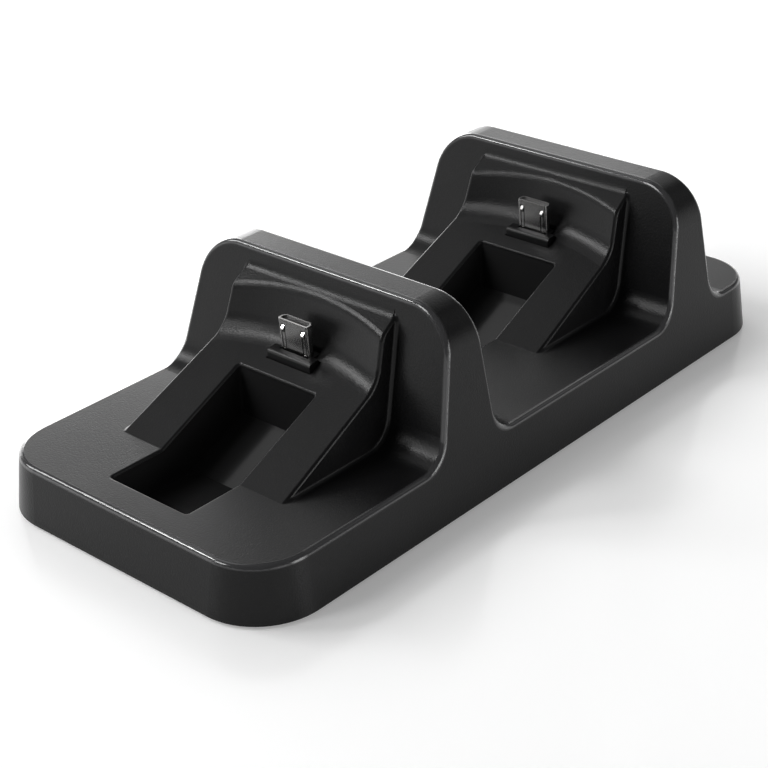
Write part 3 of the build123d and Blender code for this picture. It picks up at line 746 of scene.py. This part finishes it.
@dataclass(frozen=True)
class DrawnMetal(Finish):
    """Plated or bare metal with the lines of its rolling.

    Attributes:
        lines: Lines in one metre.
        depth: Depth of the lines, in metres.
        line_strength: How much of the lines shows.
        tarnish: The colour of duller patches.
        patches: Duller patches in one metre.
        dullness: How much the duller patches show.
        dulling: How much rougher a wholly dull patch is.
    """

    lines: float = 9000.0
    depth: float = 0.003 * MM
    line_strength: float = 0.4
    tarnish: Colour = (0.4, 0.38, 0.35)
    patches: float = 400.0
    dullness: float = 0.5
    dulling: float = 0.2

    def dress(self, wiring: Wiring, shader: bpy.types.Node) -> None:
        """Joins the finish's nodes to the shader.

        Args:
            wiring: The helper that works in the material's tree.
            shader: The Principled shader.
        """
        shader.inputs["Metallic"].default_value = 1.0
        lines = wiring.group(DrawnLines().tree(), Lines_Per_Metre=self.lines)
        patch = wiring.group(Handling().tree(), Patches_Per_Metre=self.patches).outputs["Mask"]
        tarnished = wiring.blend(wiring.math("MULTIPLY", patch, self.dullness), self.colour, self.tarnish)
        wiring.feed(shader.inputs["Base Color"], tarnished)
        dulled = wiring.math("MULTIPLY_ADD", patch, self.dullness * self.dulling, self.roughness)
        wiring.feed(shader.inputs["Roughness"], dulled)
        self.bump(wiring, shader, lines.outputs["Height"], self.line_strength, self.depth)


@dataclass(frozen=True)
class LacqueredBoard(Finish):
    """A circuit board: lacquer over copper tracks that show as lighter lines.

    Attributes:
        track: The colour of the lacquer over copper.
        tracks: The scale of the tracks, in one metre.
        track_w: A track's width, as a share of that scale.
        track_edge: How soft its edge is.
        track_run: How far a track runs.
        track_step: How far apart two tracks are.
        relief: How much of the tracks' height shows.
        track_depth: How high the tracks stand, in metres.
        weave: Threads of the board's weave in one metre.
        weave_gloss: How much the weave changes the gloss.
    """

    track: Colour = (0.05, 0.26, 0.1)
    tracks: float = 420.0
    track_w: float = 0.12
    track_edge: float = 0.3
    track_run: float = 2.6
    track_step: float = 0.55
    relief: float = 0.4
    track_depth: float = 0.02 * MM
    weave: float = 1500.0
    weave_gloss: float = 0.1

    def dress(self, wiring: Wiring, shader: bpy.types.Node) -> None:
        """Joins the finish's nodes to the shader.

        Args:
            wiring: The helper that works in the material's tree.
            shader: The Principled shader.
        """
        rows = wiring.add("TexBrick")
        wiring.feed(rows.inputs["Vector"], wiring.place())
        pattern = {"Scale": self.tracks, "Mortar Size": self.track_w, "Mortar Smooth": self.track_edge,
                   "Brick Width": self.track_run, "Row Height": self.track_step}
        for name, value in pattern.items():
            rows.inputs[name].default_value = value
        line = rows.outputs["Fac"]
        wiring.feed(shader.inputs["Base Color"], wiring.blend(line, self.colour, self.track))
        weave = wiring.noise(wiring.place(), self.weave)
        woven = wiring.math("MULTIPLY_ADD", weave, self.weave_gloss, self.roughness)
        wiring.feed(shader.inputs["Roughness"], woven)
        self.bump(wiring, shader, line, self.relief, self.track_depth)


@dataclass(frozen=True)
class SoftSkin(Finish):
    """Rubber or a wire's sleeve: dull, with a slow unevenness and a dusty bloom.

    Attributes:
        bloom: The colour of the bloom.
        bloomed: How much of the bloom a patch shows.
        patches: Patches in one metre.
        dulling: How much rougher a patch is.
        grain: Grains in one metre.
        grain_depth: Depth of the grain, in metres.
        grain_strength: How much of the grain shows.
    """

    bloom: Colour = (0.06, 0.06, 0.06)
    bloomed: float = 0.5
    patches: float = 250.0
    dulling: float = 0.1
    grain: float = 2500.0
    grain_depth: float = 0.015 * MM
    grain_strength: float = 0.3

    def dress(self, wiring: Wiring, shader: bpy.types.Node) -> None:
        """Joins the finish's nodes to the shader.

        Args:
            wiring: The helper that works in the material's tree.
            shader: The Principled shader.
        """
        patch = wiring.group(Handling().tree(), Patches_Per_Metre=self.patches).outputs["Mask"]
        grain = wiring.group(ErodedGrain().tree(), Grains_Per_Metre=self.grain)
        bloomed = wiring.blend(wiring.math("MULTIPLY", patch, self.bloomed), self.colour, self.bloom)
        wiring.feed(shader.inputs["Base Color"], bloomed)
        dulled = wiring.math("MULTIPLY_ADD", patch, self.dulling, self.roughness)
        wiring.feed(shader.inputs["Roughness"], dulled)
        self.bump(wiring, shader, grain.outputs["Height"], self.grain_strength, self.grain_depth)


class FinishBook:
    """All finishes of the dock, one for each slot of the record."""

    def __init__(self) -> None:
        """Names the finish of every slot and starts with no material built."""
        self.finishes: dict[Slot, Finish] = {
            Slot.SHELL: ShellPlastic((0.008, 0.008, 0.0084), 0.30, grain=3200.0, grain_depth=0.028 * MM,
                                     grain_strength=0.7, mirror=0.21),
            Slot.COVER: MouldedPlastic((0.012, 0.012, 0.0125), 0.5, grain=3000.0, grain_depth=0.03 * MM),
            Slot.COLLAR: MouldedPlastic((0.007, 0.007, 0.0072), 0.34, grain_strength=0.2, mirror=0.3),
            Slot.INSULATOR: MouldedPlastic((0.014, 0.014, 0.0145), 0.4, grain_strength=0.15, fleck=0.2),
            Slot.CHIP: MouldedPlastic((0.03, 0.03, 0.032), 0.55, grain=6000.0),
            Slot.CAPACITOR: MouldedPlastic((0.6, 0.42, 0.2), 0.4, grain_strength=0.2, fleck=0.1),
            Slot.RESISTOR: MouldedPlastic((0.05, 0.05, 0.055), 0.25, grain_strength=0.1),
            Slot.PLUG: DrawnMetal((0.66, 0.655, 0.65), 0.2, dullness=0.15),
            Slot.CONTACT: DrawnMetal((0.83, 0.6, 0.28), 0.2, tarnish=(0.7, 0.48, 0.2)),
            Slot.SCREW: DrawnMetal((0.55, 0.55, 0.56), 0.3, lines=6000.0),
            Slot.BOARD: LacqueredBoard((0.02, 0.16, 0.06), 0.3),
            Slot.FOOT: SoftSkin((0.03, 0.03, 0.03), 0.8),
            Slot.WIRE_RED: SoftSkin((0.55, 0.03, 0.03), 0.45, bloom=(0.6, 0.08, 0.07)),
            Slot.WIRE_BLACK: SoftSkin((0.03, 0.03, 0.03), 0.45),
        }
        self.made: dict[Slot, bpy.types.Material] = {}

    def material(self, slot: Slot) -> bpy.types.Material:
        """Gives the material of a slot, and builds it on first use.

        Args:
            slot: The slot.

        Returns:
            Its material.
        """
        if slot not in self.made:
            self.made[slot] = self.finishes[slot].material(slot)
        return self.made[slot]


# Pieces


class Dresser:
    """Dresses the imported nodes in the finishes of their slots."""

    def __init__(self, book: FinishBook) -> None:
        """Takes the finishes.

        Args:
            book: The finishes of all slots.
        """
        self.book = book
        self.slots: dict[str, Slot] = {
            row["node"]: Slot(row["material_slot"]) for row in frame["record"]["subparts"]
        }

    def dress(self, names: Iterable[str]) -> None:
        """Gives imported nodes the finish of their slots.

        Args:
            names: The nodes' names.
        """
        for name in names:
            node = frame["nodes"][name]
            material = self.book.material(self.slots[name])
            if not node.material_slots:
                node.data.materials.append(material)
            for slot in node.material_slots:
                slot.material = material
            LOG.info("dressed %s as %s", name, self.slots[name].value)


@dataclass
class Housing:
    """The moulded shell, its bottom cover, the feet and the screws that hold them together.

    Attributes:
        dresser: What gives the nodes their finishes.
        shell: The nodes of the shell, the cover and its screws.
        feet: The nodes of the feet.
    """

    dresser: Dresser
    shell: tuple[str, ...] = ("top_shell", "bottom_cover", "cover_screws")
    feet: tuple[str, ...] = ("foot_front_left", "foot_front_right", "foot_rear_left", "foot_rear_right")

    def build(self) -> None:
        """Dresses every piece of the housing."""
        self.dresser.dress(self.shell + self.feet)


@dataclass
class ChargeStation:
    """One station: its plug in a collar, standing on a small board.

    Attributes:
        dresser: What gives the nodes their finishes.
        station: Which of the two stations it is.
        kinds: The station's nodes, without the station's name.
    """

    dresser: Dresser
    station: Station
    kinds: tuple[str, ...] = ("plug_shell", "plug_insulator", "plug_contacts", "plug_latches",
                              "plug_collar", "station_board", "board_screws", "wire_red", "wire_black")

    def build(self) -> None:
        """Dresses the station's nodes."""
        prefix = self.station.name.lower()
        self.dresser.dress(f"{prefix}_{kind}" for kind in self.kinds)


@dataclass
class MainBoard:
    """The board in the rear of the platform, with its chips and the supply inlet.

    Attributes:
        dresser: What gives the nodes their finishes.
        nodes: The nodes of the board and of all that stands on it.
    """

    dresser: Dresser
    nodes: tuple[str, ...] = ("main_board", "main_board_screws", "charge_chip_left", "charge_chip_right",
                              "input_capacitor", "output_capacitors", "chip_resistors",
                              "inlet_shell", "inlet_tongue", "inlet_contacts")

    def build(self) -> None:
        """Dresses the board and all that stands on it."""
        self.dresser.dress(self.nodes)


# Studio


@dataclass(frozen=True)
class Softbox:
    """A rectangular lamp that faces the dock.

    Attributes:
        name: Its name.
        azimuth: Its direction from the dock in plan, in degrees from +X towards +Y.
        elevation: Its height above the floor, in degrees.
        width: Its width, in metres.
        height: Its height, in metres.
        radiance: How bright its face is, where 1 is white.
        distance: How far it hangs from the dock, in metres.
    """

    name: str
    azimuth: float
    elevation: float
    width: float
    height: float
    radiance: float
    distance: float = 0.9

    def hang(self) -> bpy.types.Object:
        """Hangs the lamp.

        Returns:
            The lamp.
        """
        around, above = math.radians(self.azimuth), math.radians(self.elevation)
        level = math.cos(above)
        away = Vector((level * math.cos(around), level * math.sin(around), math.sin(above)))
        data = bpy.data.lights.new(self.name, "AREA")
        data.shape = "RECTANGLE"
        data.size, data.size_y = self.width, self.height
        data.energy = self.radiance * math.pi * self.width * self.height
        lamp = bpy.data.objects.new(self.name, data)
        lamp.location = away * self.distance
        lamp.rotation_euler = (-away).to_track_quat("-Z", "Y").to_euler()
        bpy.context.scene.collection.objects.link(lamp)
        return lamp


@dataclass(frozen=True)
class PhotoCamera:
    """The camera, where the photograph was taken.

    Attributes:
        place: Where it stands, in metres.
        turn: Its heading to the left of +Y, in degrees.
        tilt: How far it looks up, in degrees.
        roll: How far it leans, in degrees.
        focal: Its focal length in pixels of the photograph.
        reach: The nearest and the farthest thing that it sees, in metres.
    """

    place: Point = (0.197897, -0.225096, 0.163274)
    turn: float = 42.237
    tilt: float = -27.942
    roll: float = -1.927
    focal: float = 1792.746
    reach: tuple[float, float] = (0.005, 50.0)

    def set_up(self) -> bpy.types.Object:
        """Makes this the scene's camera.

        Returns:
            The camera.
        """
        turn, tilt, roll = (math.radians(a) for a in (self.turn, self.tilt, self.roll))
        ahead = Vector((-math.sin(turn) * math.cos(tilt), math.cos(turn) * math.cos(tilt), math.sin(tilt)))
        side = Vector((math.cos(turn), math.sin(turn), 0.0))
        up = side.cross(ahead)
        right = side * math.cos(roll) + up * math.sin(roll)
        upright = up * math.cos(roll) - side * math.sin(roll)
        data = bpy.data.cameras.new("camera")
        data.sensor_width = SENSOR_W
        data.lens = self.focal * SENSOR_W / PICTURE_W
        data.clip_start, data.clip_end = self.reach
        data.dof.use_dof = False
        camera = bpy.data.objects.new("camera", data)
        bpy.context.scene.collection.objects.link(camera)
        turned = Matrix((right, upright, -ahead)).transposed().to_4x4()
        camera.matrix_world = Matrix.Translation(self.place) @ turned
        bpy.context.scene.camera = camera
        return camera


@dataclass(frozen=True)
class Studio:
    """A pale glossy floor, a pale surrounding and soft lamps.

    Attributes:
        floor_size: The floor's width, in metres.
        floor_white: How white the floor is.
        floor_gloss: Its roughness.
        floor_glow: How much the open floor is lifted where the camera sees it, straight or mirrored.
        shade_low: The low corner of the shade beside the dock.
        shade_high: Its high corner.
        shade_reach: How far the shade fades out.
        shade_depth: The share of the glow that is left in the shade.
        surround: The level of light from all round.
        horizon: How much brighter the surrounding is near the floor, where it is seen.
        horizon_end: Between which heights that band fades out.
        lamps: The soft lamps.
    """

    floor_size: float = 30.0
    floor_white: float = 0.92
    floor_gloss: float = 0.16
    floor_glow: float = 0.40
    shade_low: Point = (-20.0 * MM, -50.0 * MM, 0.0)
    shade_high: Point = (24.0 * MM, 66.0 * MM, 0.0)
    shade_reach: float = 42.0 * MM
    shade_depth: float = 0.45
    surround: float = 0.1
    horizon: float = 0.8
    horizon_end: tuple[float, float] = (0.12, 0.25)
    lamps: tuple[Softbox, ...] = field(default_factory=lambda: (
        Softbox("right low", 15.0, 12.0, 0.36, 0.36, 3.9),
        Softbox("front right low", 345.0, 12.0, 0.36, 0.36, 0.6),
        Softbox("right high", 60.0, 36.0, 0.36, 0.36, 0.3),
        Softbox("rear right low", 110.0, 12.0, 0.36, 0.36, 0.6),
        Softbox("rear low", 130.0, 12.0, 0.36, 0.36, 2.5),
        Softbox("rear left low", 150.0, 12.0, 0.36, 0.36, 5.3),
        Softbox("left low", 170.0, 12.0, 0.36, 0.36, 1.7),
        Softbox("rear high", 105.0, 36.0, 0.36, 0.36, 0.9),
        Softbox("rear left high", 140.0, 36.0, 0.5, 0.36, 1.0),
        Softbox("left high", 203.0, 36.0, 0.2, 0.3, 9.0),
        Softbox("front left spot", 218.0, 41.0, 0.12, 0.12, 28.0),
        Softbox("front high", 243.0, 36.0, 0.2, 0.3, 8.4),
        Softbox("front left low", 222.0, 12.0, 0.5, 0.3, 0.9),
        Softbox("above", 180.0, 60.0, 0.36, 0.36, 1.0),
    ))

    def lay_floor(self) -> bpy.types.Object:
        """Lays the floor.

        Returns:
            The floor.
        """
        mesh = bpy.data.meshes.new("floor")
        shape = bmesh.new()
        bmesh.ops.create_grid(shape, x_segments=1, y_segments=1, size=self.floor_size / 2)
        shape.to_mesh(mesh)
        shape.free()
        floor = bpy.data.objects.new("floor", mesh)
        bpy.context.scene.collection.objects.link(floor)
        material = bpy.data.materials.new("floor")
        material.use_nodes = True
        wiring = Wiring(material.node_tree)
        shader = material.node_tree.nodes["Principled BSDF"]
        white = self.floor_white
        shader.inputs["Base Color"].default_value = (white, white, white, 1.0)
        shader.inputs["Roughness"].default_value = self.floor_gloss
        shader.inputs["Emission Color"].default_value = (1.0, 1.0, 1.0, 1.0)
        glow = wiring.math("MULTIPLY", self.open_floor(wiring), self.floor_glow)
        wiring.feed(shader.inputs["Emission Strength"], wiring.math("MULTIPLY", self.seen(wiring), glow))
        floor.data.materials.append(material)
        return floor

    def open_floor(self, wiring: Wiring) -> Socket:
        """Finds how open the floor is.

        Args:
            wiring: The helper that works in the floor's tree.

        Returns:
            The share of the glow, from shade_depth beside the dock to 1 away from it.
        """
        place = wiring.place_parts()
        outside: list[Socket] = []
        for axis in (0, 1):
            middle = (self.shade_low[axis] + self.shade_high[axis]) / 2
            half = (self.shade_high[axis] - self.shade_low[axis]) / 2
            away = wiring.math("ABSOLUTE", wiring.math("SUBTRACT", place[axis], middle))
            past = wiring.math("MAXIMUM", wiring.math("SUBTRACT", away, half), 0.0)
            outside.append(wiring.math("POWER", past, 2.0))
        distance = wiring.math("SQRT", wiring.math("ADD", *outside))
        return wiring.ramp(distance, 0.0, self.shade_reach, self.shade_depth, 1.0)

    @staticmethod
    def seen(wiring: Wiring) -> Socket:
        """Tells what the camera sees from what only lights.

        Args:
            wiring: The helper that works in the material's or the world's tree.

        Returns:
            1 for what is seen, straight or in a reflection, and 0 for the rest.
        """
        path = wiring.add("LightPath").outputs
        mirrored = wiring.math("MAXIMUM", path["Is Glossy Ray"], path["Is Transmission Ray"])
        return wiring.math("MAXIMUM", path["Is Camera Ray"], mirrored)

    def light_world(self) -> None:
        """Gives the surrounding its level."""
        world = bpy.data.worlds.new("surrounding")
        world.use_nodes = True
        bpy.context.scene.world = world
        background = world.node_tree.nodes["Background"]
        background.inputs["Color"].default_value = (1.0, 1.0, 1.0, 1.0)
        wiring = Wiring(world.node_tree)
        split = wiring.add("SeparateXYZ")
        wiring.feed(split.inputs[0], wiring.add("TexCoord").outputs["Generated"])
        pale = wiring.ramp(split.outputs[2], *self.horizon_end, self.horizon, 0.0)
        level = wiring.math("MULTIPLY_ADD", self.seen(wiring), pale, self.surround)
        wiring.feed(background.inputs["Strength"], level)

    def set_up(self) -> None:
        """Sets up the floor, the surrounding, the lamps and the camera."""
        self.lay_floor()
        self.light_world()
        for lamp in self.lamps:
            lamp.hang()
            LOG.info("hung lamp %s", lamp.name)
        PhotoCamera().set_up()
        bpy.context.scene.view_settings.view_transform = "Standard"


def main() -> None:
    """Builds the looks of the dock in order."""
    logging.basicConfig(level=logging.INFO, format="%(name)s: %(message)s")
    dresser = Dresser(FinishBook())
    Housing(dresser).build()
    for station in Station:
        ChargeStation(dresser, station).build()
    MainBoard(dresser).build()
    Studio().set_up()


if __name__ == "__main__":
    main()
